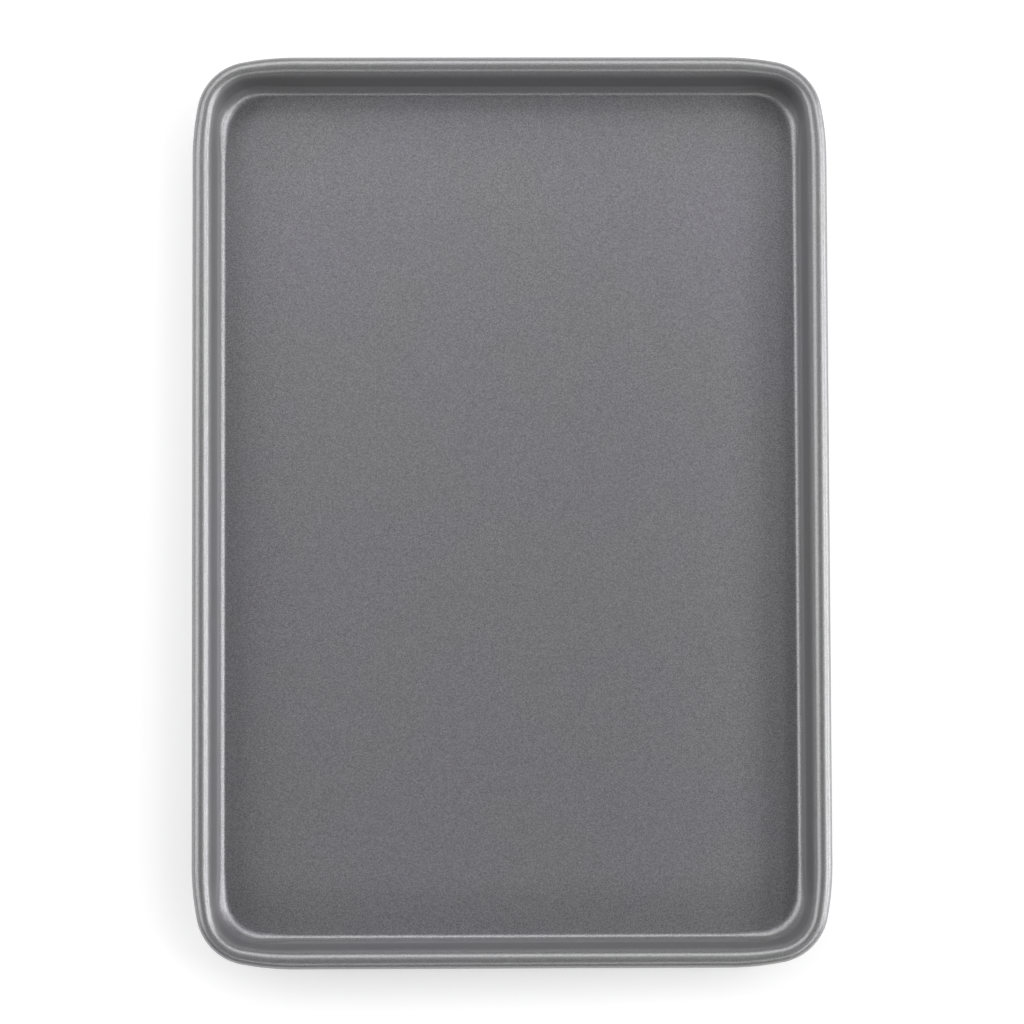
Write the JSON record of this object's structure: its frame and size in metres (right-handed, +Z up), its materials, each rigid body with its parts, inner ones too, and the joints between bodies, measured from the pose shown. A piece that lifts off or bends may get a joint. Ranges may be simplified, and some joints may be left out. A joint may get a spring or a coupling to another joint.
{
  "type": "jelly roll pan",
  "caption": "Shallow rectangular baking pan pressed from one steel sheet, with rounded corners, leaning walls and a rim rolled round a stiffening wire.",
  "frame": {"origin": "centre of the flat underside, on the surface that the pan stands on", "axes": "+X across the short way, +Y along the long way, +Z up out of the open side"},
  "size_m": [0.28, 0.401, 0.0254],
  "materials": {
    "nonstick_coating": "dark grey non-stick coating, satin, with a fine pebbled grain and a faint metallic sheen",
    "bare_wire": "drawn steel wire, uncoated, satin"
  },
  "bodies": {
    "root": {"pan_shell": "nonstick_coating", "rim_wire": "bare_wire"}
  },
  "joints": []
}
